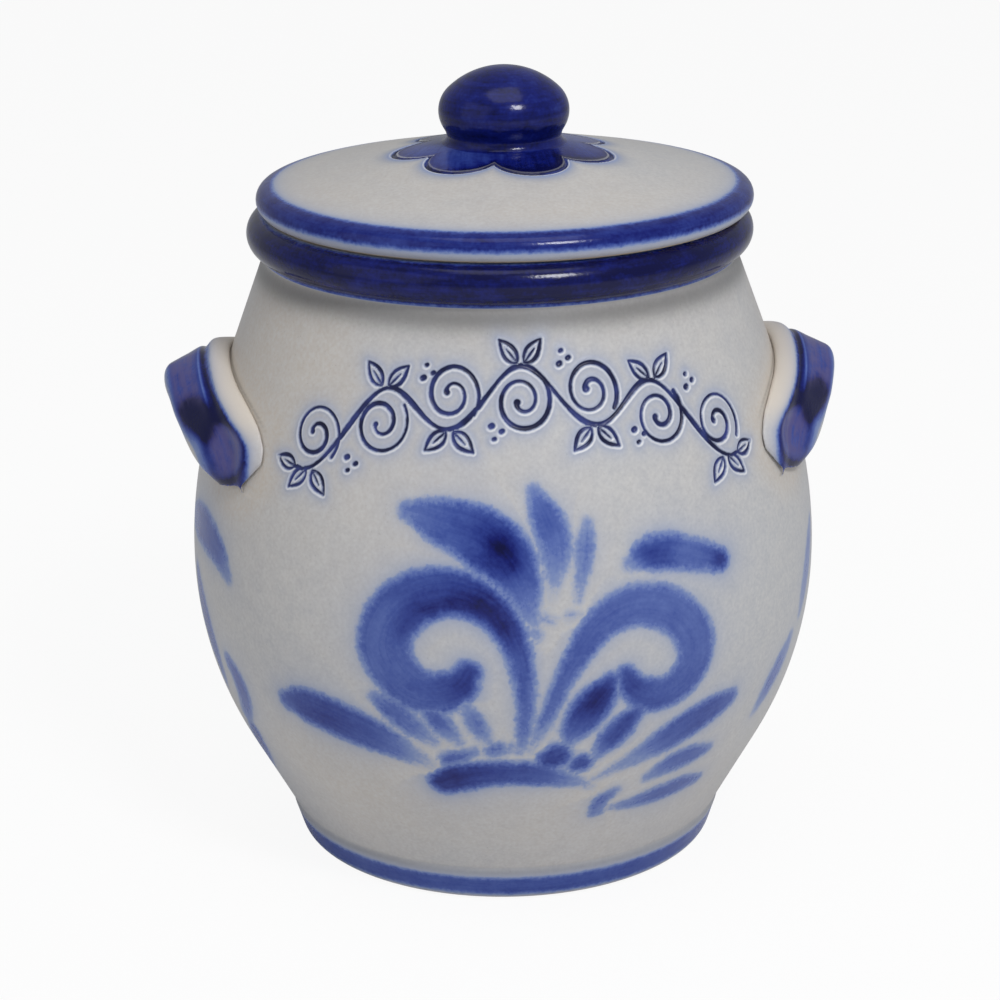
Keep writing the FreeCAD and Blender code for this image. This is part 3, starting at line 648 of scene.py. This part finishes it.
def ornament_lines():
    """Lines of the ornament as rows of millimetres across, height and width of the cut."""
    across = np.linspace(-STEM_END, STEM_END, 79)
    stem = arch(across) + WAVE * np.cos(np.pi * across / WAVE_LENGTH)
    lines = [np.column_stack([across, stem, 1.55 + 0.35 * np.sin(across * 0.31 + 1)])]
    share = np.linspace(0, 1, 40)
    radius = CURL_INNER + CURL_OUTER * (1 - share) ** 0.85
    for number in range(-SIDE_TENDRILS, SIDE_TENDRILS + 1):
        middle, way = number * WAVE_LENGTH, 1 if number % 2 == 0 else -1
        turn = way * np.radians(CURL_START - CURL_TURN * share)
        spiral = np.column_stack([middle + radius * np.cos(turn), arch(middle) - 2 * way + radius * np.sin(turn)])
        widths = 1.25 + 0.3 * np.sin(share * 7 + number) + 0.8 * smoothstep(0.93, 1, share)
        lines.append(np.column_stack([spiral, widths]))
        crest = np.array([middle, arch(middle) + way * (WAVE + 0.8)])
        for side in (-1, 1):
            turn = way * (90 - side * (LEAF_SPREAD + 3 * (number % 3)))
            lines += leaf_lines(crest + (side * 1.2, 0), turn, LEAF_LENGTH - 0.5 * (number % 2), LEAF_WIDTH)
        if number < SIDE_TENDRILS:
            spot = np.array([middle + WAVE_LENGTH / 2 + 1.5, arch(middle + WAVE_LENGTH / 2) + way * 9])
            for k, (dx, dy) in enumerate(DOTS):
                dot, width = spot + (dx, dy * way), 1.9 - 0.3 * k
                lines.append(np.array([(*dot, width), (dot[0] + 0.4, dot[1] + 0.2, width)]))
    for side in (-1, 1):
        tip = np.array([side * STEM_END, arch(STEM_END) + WAVE * math.cos(math.pi * STEM_END / WAVE_LENGTH)])
        lines += leaf_lines(tip, 90 - side * 78, 8.5, 4.0)
    return lines


def incised(where, on_crock):
    """Signed depth inside the cuts in mm, and how strongly the pale burr beside them shows, with a painted highlight
    that is strongest on their lower and +X sides.
    """
    samples = []
    for line in ornament_lines():
        line[:, 0] = np.degrees(line[:, 0] / ORNAMENT_RADIUS)
        samples.append(smooth_line(line, CUT_STEP)[0])
    samples = np.concatenate(samples)
    spots = on_wall(samples[:, 0], samples[:, 1])
    tree = tree_of(spots)
    depth = np.full(len(where), UNCUT)
    lit = np.zeros(len(where))
    for k in np.flatnonzero(on_crock & about(where, spots, 8)):
        spot, index, distance = tree.find(where[k])
        depth[k] = samples[index, 2] / 2 - distance
        # painted highlight on the burr: strongest below a cut and on its +X side
        if distance < 3:
            off = (where[k] - spot) / max(distance, 1e-6)
            lit[k] = 0.5 + 0.5 * (0.6 * off[0] - 0.8 * off[2])
    return depth, lit


def cut_into(piece, where, depth, outward):
    """Moves the skin in along the cuts and leaves a small burr on both sides of them."""
    push = BURR_HEIGHT * hill(depth + 0.75, 0.4) - CUT_DEPTH * smoothstep(-0.35, 0.5, depth)
    place_all(piece, where + outward * push[:, None])


# ---- Bands, handles, knob and petals. A painted area is a signed depth inside its
# edge (ink), a load of cobalt and a place for its streaks, whose last number
# keeps the streaks of two areas apart.
BEAD = (80.4, 220.7, 6.9)  # circle that the rim bead follows: distance from the axis, height, radius
LIP = (80.9, 232.2, 4.6)  # the same for the lid's lip
BEAD_BAND, FOOT_BAND = (-9.3, 9), (2.8, 9.4)  # mm along the bead's circle, and mm of height
LIP_TURN = math.radians(83)  # how far up the lip is round; the dome begins there
BEAD_LOAD, LIP_LOAD, KNOB_LOAD, FOOT_LOAD = 1.12, 0.98, 1.06, 0.72
BAND_CRISP = 1.9  # bands end more sharply than brush marks
PETALS, PETAL_TURN, PETAL_AT, PETAL_ROUND = 7, 14.7, 25.5, 12.5
PETAL_CUT = 0.75  # half the width of the line round them
KNOB_NECK = 22.5  # mm over the crock's top where the knob leaves the dome
# Spots on a handle: their middle and reach, as shares of the turn and of the width
# the first spot is a painted dark reflection, laid on as extra cobalt
HANDLE_DARK_REFLECTION = ((0.5, 0.66), (0.15, 0.24))
WASHED = ((0.72, 0.88), (0.14, 0.15))
# Width of the painted face in mm, and the share of it that stays cream, along a handle from its middle to its ends
FACE_WIDTH = ((0, 0.2, 0.4, 0.6, 0.8, 0.9, 1), (24.5, 27, 36, 42, 36, 24, 5))
CREAM_SHARE = ((0, 0.35, 0.55, 0.7, 0.9, 1), (0.31, 0.29, 0.24, 0.14, 0.12, 0.3))


def inside_band(value, low, high):
    return np.minimum(value - low, high - value)


def laid(layers, ink, load, streak, here):
    """Lays one more painted area over the ones that are there, where it is deeper inside its own edge."""
    better = (ink > layers[0]) & here
    layers[0][better] = ink[better]
    layers[1][better] = np.broadcast_to(load, ink.shape)[better]
    layers[2][better] = streak[better]


def stack(along, across, number):
    return np.stack([along, across, number + 0 * across], 1)


def spot(end, share, middle, reach):
    return np.hypot((end - middle[0]) / reach[0], (share - middle[1]) / reach[1])


def strap_paint(turn, share, up):
    """Signed depth inside a handle's painted face, its load, and the painted sheen over it."""
    end = np.abs(turn)
    span = np.interp(end, *FACE_WIDTH)
    cream = np.interp(end, *CREAM_SHARE)
    ink = 1.5 * np.minimum((share - cream) * span, (0.99 - share) * span)
    ink = np.minimum(ink, np.minimum((0.975 - end) * 45, up + 3.2))

    # painted dark reflection on the face above the print
    dark_reflection = hill(spot(end, share, *HANDLE_DARK_REFLECTION) ** 2, 1)
    dent = in_print(end, share * span)
    # dark beside the roll, pale on the ridge next to it, a painted dark reflection above the print and a dark ring
    # round it
    load = 0.86 + 0.3 * hill(share - cream - 0.07, 0.06) * (1 - smoothstep(0.5, 0.72, end))
    load -= 0.45 * hill(share - 0.435, 0.014) * (1 - smoothstep(0.3, 0.5, end))
    load += 0.55 * dark_reflection
    load += 0.25 * hill(dent - 1.15, 0.25) - 0.04 * hill(dent, 0.8) + 0.16 * smoothstep(0.82, 0.93, end)
    # washed thin below the painted dark reflection and along the free edge
    load -= 0.6 * hill(spot(end, share, *WASHED), 1)
    load -= 0.45 * smoothstep(0.85, 0.97, share) * (1 - smoothstep(0.75, 0.9, end))

    # painted sheen: a grey-purple reflection over the middle of the face and inside the prints
    painted_sheen = 0.7 * smoothstep(0.46, 0.54, share) * (1 - smoothstep(0.82, 0.94, share))
    painted_sheen *= 1 - smoothstep(0.35, 0.6, end)
    painted_sheen = np.maximum(painted_sheen, 0.75 * (1 - smoothstep(0.6, 1.05, dent))) * (1 - dark_reflection)
    return ink, load, painted_sheen


def paint_jar(piece, where, handle):
    """Cuts the ornament into the crock, and gives every layer that its glaze reads."""
    radius = np.hypot(where[:, 0], where[:, 1])
    degrees = np.degrees(np.arctan2(where[:, 0], -where[:, 1]))
    height = where[:, 2]
    off_wall = np.abs(radius - wall_radius(height))
    on_strap, turn, share, up, away, end = handle
    layers = list(brushed(where))
    layers[0][on_strap | (off_wall > 4)] = FAR_INK
    girth = np.radians(degrees) * radius

    bead = np.arctan2(height - BEAD[1], radius - BEAD[0]) * BEAD[2]
    on_bead = (np.abs(np.hypot(radius - BEAD[0], height - BEAD[1]) - BEAD[2]) < 1.5) & (radius > BEAD[0])
    laid(layers, BAND_CRISP * inside_band(bead, *BEAD_BAND), BEAD_LOAD, stack(girth, bead, 500), on_bead)
    on_foot = (height < 14) & (radius > 70)
    laid(layers, BAND_CRISP * inside_band(height, *FOOT_BAND), FOOT_LOAD, stack(girth, height, 600), on_foot)
    ink, load, painted_sheen = strap_paint(turn, share, up)
    laid(layers, ink, load, stack(turn * 60, share * 30, 700 + np.sign(where[:, 0])), on_strap)

    depth, lit = incised(where, ~on_strap & (off_wall < 1.5) & (height > 14))
    cut_into(piece, where, depth, where * (1, 1, 0) / np.maximum(radius, 1)[:, None])

    # the grey is warmer by the handles and in two clouds, and cooler to the right of the front
    warm = 0.9 * hill(away, 8) * ~on_strap + 0.5 * hill(degrees + 62, 34) * hill(height - 185, 34)
    warm += 0.35 * hill(degrees + 20, 45) * hill(height - 45, 30)
    warm -= 0.4 * hill(degrees - 45, 50) * hill(height - 120, 70)
    # painted shade, with some soot: darker grey in the step of the foot, under the bead where its shadow falls, and
    # in the joint at the handles' crowns
    crown = 1 - smoothstep(0.45, 0.7, end)
    shade_and_soot = 0.55 * hill(height - 12.2, 1.6) + 0.75 * hill(height - 209.5, 4.5) + 0.75 * hill(away, 0.5) * crown
    cream = np.where(on_strap, smoothstep(0.3, 1.5, -ink) * (up > -7), 0.4 * hill(away, 3)) * (0.25 + 0.75 * crown)
    return dict(ink=layers[0], load=layers[1], streak=layers[2], cut=depth, burr_highlight=lit, warm=warm, shade_and_soot=shade_and_soot,
                cream=cream, painted_sheen=painted_sheen * on_strap * smoothstep(-1, 2, ink), bare=smoothstep(1.2, 0.4, height))


def paint_lid(piece, where):
    """Cuts the line round the petals into the lid, and gives every layer that its glaze reads."""
    off = where - (LID_AXIS, 0, 0)
    radius = np.hypot(off[:, 0], off[:, 1])
    degrees = np.degrees(np.arctan2(off[:, 0], -off[:, 1]))
    height = off[:, 2]
    layers = [np.full(len(where), FAR_INK), np.zeros(len(where)), np.zeros((len(where), 3))]
    girth = np.radians(degrees) * radius
    above = height > JAR_TOP + 1

    lip = np.degrees(np.arctan2(height - LIP[1], radius - LIP[0]))
    on_lip = (np.abs(np.hypot(radius - LIP[0], height - LIP[1]) - LIP[2]) < 1.2) & (lip > -90) & (lip < 84)
    arc = np.where(on_lip, lip * math.pi / 180 * LIP[2], LIP_TURN * LIP[2] + (LIP[0] - radius))
    band = BAND_CRISP * inside_band(arc, -0.2, LIP_TURN * LIP[2] + 0.9)
    laid(layers, band, LIP_LOAD, stack(girth, arc, 500), (radius > 60) & above)

    petal = np.radians((degrees - PETAL_TURN + 180 / PETALS) % (360 / PETALS) - 180 / PETALS)
    reach = PETAL_AT * np.cos(petal) + np.sqrt(PETAL_ROUND ** 2 - (PETAL_AT * np.sin(petal)) ** 2)
    inside = reach - radius
    shade = 0.94 + 0.12 * np.sin(np.radians(degrees * 2 + 40)) + 0.1 * smoothstep(8, 0, inside)
    laid(layers, 3 * (inside + 0.2), shade, stack(radius, girth, 800), (radius < 60) & above)
    knob = height > JAR_TOP + KNOB_NECK
    layers[1][knob] = KNOB_LOAD
    layers[2][knob] = stack(girth, 1.5 * height, 900)[knob]

    depth = np.where((radius > 20) & (radius < 50) & above, PETAL_CUT - np.abs(inside), UNCUT)
    cut_into(piece, where, depth, np.array((0, 0, 1)))
    # painted highlight on the burr: lighter outside the petal line at the front and inside it at the back
    lit = 0.5 + 0.5 * np.sign(-inside) * np.cos(np.radians(degrees))
    # the same layer of painted shade and soot darkens the grey just outside the petals
    return dict(ink=layers[0], load=layers[1], streak=layers[2], cut=depth, burr_highlight=lit,
                warm=0.15 * np.cos(np.radians(degrees + 40)), shade_and_soot=0.25 * hill(inside + 2, 3.5) * above,
                cream=np.zeros(len(where)), bare=(~above & (radius > 60)).astype(float))


# ---- Material: grey salt glaze with cobalt under it
def srgb(red, green, blue):
    """A colour as seen on a screen, 0 to 255, as Blender's linear colour."""
    linear = [v / 255 / 12.92 if v <= 10 else ((v / 255 + 0.055) / 1.055) ** 2.4 for v in (red, green, blue)]
    return (*linear, 1)


class Shader:
    """Short ways to put nodes into a material or a world."""

    def __init__(self, owner):
        owner.use_nodes = True
        self.tree = owner.node_tree
        self.tree.nodes.clear()

    def add(self, kind, inputs, **settings):
        node = self.tree.nodes.new("ShaderNode" + kind)
        for key, value in settings.items():
            setattr(node, key, value)
        for key, value in inputs.items():
            if isinstance(value, bpy.types.NodeSocket):
                self.tree.links.new(value, node.inputs[key])
            else:
                node.inputs[key].default_value = value
        return node

    def math(self, operation, *values):
        return self.add("Math", dict(enumerate(values)), operation=operation).outputs[0]

    def layer(self, name, output="Fac"):
        return self.add("Attribute", {}, attribute_name=name).outputs[output]

    def step(self, value, low, high):
        """As smoothstep above."""
        inputs = {"Value": value, "From Min": low, "From Max": high}
        return self.add("MapRange", inputs, interpolation_type="SMOOTHSTEP").outputs[0]

    def noise(self, vector, scale, detail=2.0, roughness=0.5):
        """Smooth noise round zero, about -1 to 1."""
        inputs = {"Vector": vector, "Scale": scale, "Detail": detail, "Roughness": roughness}
        value = self.add("TexNoise", inputs).outputs[0]
        return self.math("MULTIPLY_ADD", value, 4.0, -2.0)

    def stretched(self, vector, scale):
        return self.add("Mapping", {"Vector": vector, "Scale": scale}).outputs[0]

    def mix(self, factor, below, above):
        """One colour over another; a mix node's colours are its inputs 6 and 7."""
        return self.add("Mix", {0: factor, 6: below, 7: above}, data_type="RGBA").outputs[2]

    def total(self, *values):
        """The sum; a value with a factor comes as a pair."""
        values = [self.times(*value) if isinstance(value, tuple) else value for value in values]
        return reduce(lambda so_far, value: self.math("ADD", so_far, value), values)

    def times(self, value, factor):
        return self.math("MULTIPLY", value, factor)

    def depth(self, value):
        """A signed depth outside its edge, 0 inside."""
        return self.math("MINIMUM", value, 0.0)

    def falling(self, depth, rate, most):
        """From most at the edge, ever less outside it."""
        return self.times(self.math("EXPONENT", self.times(depth, rate)), most)


# Cobalt from its thinnest to its thickest: share of the full load, and colour
COBALT = (
    (0.00, (160, 168, 186)), (0.12, (146, 158, 188)), (0.28, (116, 134, 182)), (0.44, (88, 108, 172)),
    (0.60, (64, 84, 156)), (0.76, (40, 57, 134)), (0.90, (15, 25, 102)), (1.00, (5, 9, 60)))
GREY_COOL, GREY_WARM, GREY_PALE = srgb(177, 178, 181), srgb(197, 184, 168), srgb(206, 204, 200)
# the second colour on the next line is the grey of painted shade, with some soot
SPECK, SHADE_AND_SOOT, CREAM, BARE = srgb(128, 124, 120), srgb(104, 102, 98), srgb(222, 210, 192), srgb(196, 180, 156)
# the first colour on the next line is the grey-purple of a painted sheen on the handles' glossy faces
SHEEN_TINT, BURR_HIGHLIGHT = srgb(92, 86, 132), srgb(222, 222, 224)
CUT_DARK, CUT_LIGHT = srgb(18, 22, 58), srgb(52, 62, 122)


def glaze(name):
    material = bpy.data.materials.new(name)
    s = Shader(material)
    place = s.add("TexCoord", {}).outputs["Object"]
    ink, load, cut = s.layer("ink"), s.layer("load"), s.layer("cut")
    streak = s.layer("streak", "Vector")

    # salt glaze: broad clouds, small mottle and the pimples of orange peel
    cloud = s.noise(place, 14, 3)
    mottle = s.noise(place, 190, 3, 0.6)
    peel = s.noise(place, 800, 1.5, 0.45)
    speck = s.noise(place, 1500, 1, 0.4)
    warmth = s.total((cloud, 0.35), s.layer("warm"), (mottle, 0.12))
    body = s.mix(s.step(warmth, -0.7, 1.0), GREY_COOL, GREY_WARM)
    body = s.mix(s.step(s.total((peel, 0.5), (mottle, 0.3)), -1.2, 1.4), body, GREY_PALE)
    body = s.mix(s.times(s.step(speck, 0.75, 1.3), 0.35), body, SPECK)
    # painted shade, with some soot, darkens the grey in the foot's step, under the bead, in the handles' joints and
    # just outside the lid's petals
    body = s.mix(s.math("MINIMUM", s.layer("shade_and_soot"), 0.8), body, SHADE_AND_SOOT)
    body = s.mix(s.layer("cream"), body, CREAM)

    # cobalt: its own ragged edge, brush streaks, thin mottle, and a haze round it
    edge = s.total(ink, (peel, 0.45), (s.noise(place, 420, 3), 0.5), (mottle, 0.35))
    cover = s.step(edge, -2.2, 2.5)
    lines = s.noise(s.stretched(streak, (0.045, 0.55, 1)), 1, 3, 0.6)
    blotch = s.noise(s.stretched(streak, (0.09, 0.16, 1)), 1, 2, 0.5)
    strength = s.total((load, 0.86), (lines, 0.05), (blotch, 0.05), (cloud, 0.03), (mottle, 0.035), (peel, 0.03))
    outer = s.depth(ink)
    haze = s.total(s.falling(outer, 0.5, 0.1), s.falling(outer, 0.13, 0.14))
    haze = s.times(haze, s.times(load, s.math("SUBTRACT", 1.0, cover)))
    cut_haze = s.falling(s.depth(cut), 0.36, 0.15)
    dense = s.total(s.times(cover, strength), haze, cut_haze)
    ramp = s.add("ValToRGB", {"Fac": dense})
    while len(ramp.color_ramp.elements) < len(COBALT):
        ramp.color_ramp.elements.new(0.5)
    for element, (position, colour) in zip(ramp.color_ramp.elements, COBALT):
        element.position = position
        element.color = srgb(*colour)
    colour = s.mix(s.step(dense, -0.05, 0.22), body, ramp.outputs[0])
    # painted sheen: the grey-purple reflection laid over the handles' faces, broken by mottle and streaks
    sheen_share = s.times(s.layer("painted_sheen"), s.step(s.total(mottle, lines), -1.5, 0.5))
    colour = s.mix(sheen_share, colour, SHEEN_TINT)

    # cuts: nearly black cobalt in the groove, and beside it a pale burr that is partly a painted highlight
    rough_cut = s.total(cut, (peel, 0.08), (mottle, 0.06))
    groove = s.step(rough_cut, -0.22, 0.22)
    burr_highlight = s.times(s.step(rough_cut, -1.15, -0.55), s.math("SUBTRACT", 1.0, s.step(rough_cut, -0.4, -0.1)))
    burr_highlight = s.times(burr_highlight, s.math("MULTIPLY_ADD", s.layer("burr_highlight"), 0.75, 0.1))
    colour = s.mix(burr_highlight, colour, BURR_HIGHLIGHT)
    cut_colour = s.mix(s.step(s.noise(place, 120, 2), -0.6, 0.9), CUT_DARK, CUT_LIGHT)
    colour = s.mix(groove, colour, cut_colour)
    colour = s.mix(s.layer("bare"), colour, BARE)

    # gloss: cobalt runs glassier than the grey, bare clay is dull
    shine = s.add("MapRange", {"Value": dense, "From Min": 0.1, "From Max": 0.8, "To Min": 0.36, "To Max": 0.17})
    rough = s.total(shine.outputs[0], (mottle, 0.03), (s.layer("cream"), 0.06), (s.layer("bare"), 0.4))
    relief = s.total((peel, 0.5), (mottle, 0.9), s.times(s.times(cover, lines), 0.25))
    bump = s.add("Bump", {"Height": relief, "Strength": 0.5, "Distance": 0.00004})
    surface = {"Base Color": colour, "Roughness": rough, "Normal": bump.outputs[0]}
    glass = s.add("BsdfPrincipled", {**surface, "IOR": 1.5, "Specular IOR Level": 0.27})
    s.add("OutputMaterial", {"Surface": glass.outputs[0]})
    return material


# ---- The two pieces
def dressed(piece, node, layers):
    """Gives a piece its layers and glaze, and puts it in the place of its CAD node."""
    for name, values in layers.items():
        flat = values.ndim == 1
        layer = piece.data.attributes.new(name, "FLOAT" if flat else "FLOAT_VECTOR", "POINT")
        layer.data.foreach_set("value" if flat else "vector", values.astype(np.float32).ravel())
    piece.data.materials.clear()
    piece.data.materials.append(glaze(node + "_salt_glaze"))
    piece.name = "stoneware_" + node
    piece.data.shade_smooth()
    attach(piece, "root")
    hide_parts(node)


jar, jar_places, handle = make_jar()
lid, lid_places = make_lid()
dressed(jar, "jar", paint_jar(jar, jar_places, handle))
dressed(lid, "lid", paint_lid(lid, lid_places))

# ---- Camera, floor and light
CAMERA_TURN = -4.0  # degrees round from the front
CAMERA_DISTANCE, CAMERA_HEIGHT, CAMERA_ASIDE = 0.950, 0.4435, -0.00095  # metres
CAMERA_PITCH, CAMERA_ROLL = 18.77, 0.62  # degrees down and round
FLOOR_GLOW = 0.92  # share of plain white that the camera sees in the floor
WHITE = (1, 1, 1, 1)
LIT_HEIGHT = 0.13  # metres up, where the lamps point


def make_camera():
    data = bpy.data.cameras.new("camera")
    data.lens, data.sensor_width = 101.3, 36
    data.clip_start, data.clip_end = 0.05, 20
    camera = placed("camera", data)
    turn = Matrix.Rotation(math.radians(CAMERA_TURN), 4, "Z")
    place = Matrix.Translation((CAMERA_ASIDE, -CAMERA_DISTANCE, CAMERA_HEIGHT))
    pitch = Matrix.Rotation(math.radians(90 - CAMERA_PITCH), 4, "X")
    roll = Matrix.Rotation(math.radians(-CAMERA_ROLL), 4, "Z")
    camera.matrix_world = turn @ place @ pitch @ roll
    bpy.context.scene.camera = camera


def make_floor():
    """A floor that keeps the object's shadow, and that the camera sees as nearly white."""
    material = bpy.data.materials.new("white_floor")
    s = Shader(material)
    shade = s.add("BsdfDiffuse", {"Color": (0.86, 0.86, 0.86, 1)})
    glow = s.add("Emission", {"Color": WHITE, "Strength": 1.0})
    seen = s.times(s.add("LightPath", {}).outputs["Is Camera Ray"], FLOOR_GLOW)
    mixed = s.add("MixShader", {0: seen, 1: shade.outputs[0], 2: glow.outputs[0]})
    s.add("OutputMaterial", {"Surface": mixed.outputs[0]})
    bpy.ops.mesh.primitive_circle_add(vertices=96, radius=3, fill_type="NGON", location=(0, 0, -0.0002))
    floor = bpy.context.object
    floor.name = "floor"
    floor.data.materials.append(material)


def make_world():
    """White to the camera, and a plain pale light on the object."""
    world = bpy.data.worlds.new("world")
    bpy.context.scene.world = world
    s = Shader(world)
    seen = s.add("Background", {"Color": WHITE, "Strength": 1.0})
    unseen = s.add("Background", {"Color": (0.95, 0.97, 1, 1), "Strength": 0.36})
    camera_ray = s.add("LightPath", {}).outputs["Is Camera Ray"]
    mixed = s.add("MixShader", {0: camera_ray, 1: unseen.outputs[0], 2: seen.outputs[0]})
    s.add("OutputWorld", {"Surface": mixed.outputs[0]})


def soft_box(name, degrees, elevation, distance, side, power):
    """A square lamp, degrees round from the front and up, that points at the object."""
    data = bpy.data.lights.new(name, "AREA")
    data.shape = "RECTANGLE"
    data.size = data.size_y = side
    data.energy = power
    lamp = placed(name, data)
    a, e = math.radians(degrees), math.radians(elevation)
    back = Vector((math.sin(a) * math.cos(e), -math.cos(a) * math.cos(e), math.sin(e)))
    lamp.location = Vector((0, 0, LIT_HEIGHT)) + back * distance
    lamp.rotation_mode = "QUATERNION"
    lamp.rotation_quaternion = back.to_track_quat("Z", "Y")


make_camera()
make_floor()
make_world()
soft_box("key", 24, 44, 1.6, 0.36, 12)
soft_box("fill", -60, 25, 2.0, 1.8, 4)
soft_box("top", 10, 82, 1.6, 1.0, 4.5)

bpy.context.scene.view_settings.view_transform = "Standard"
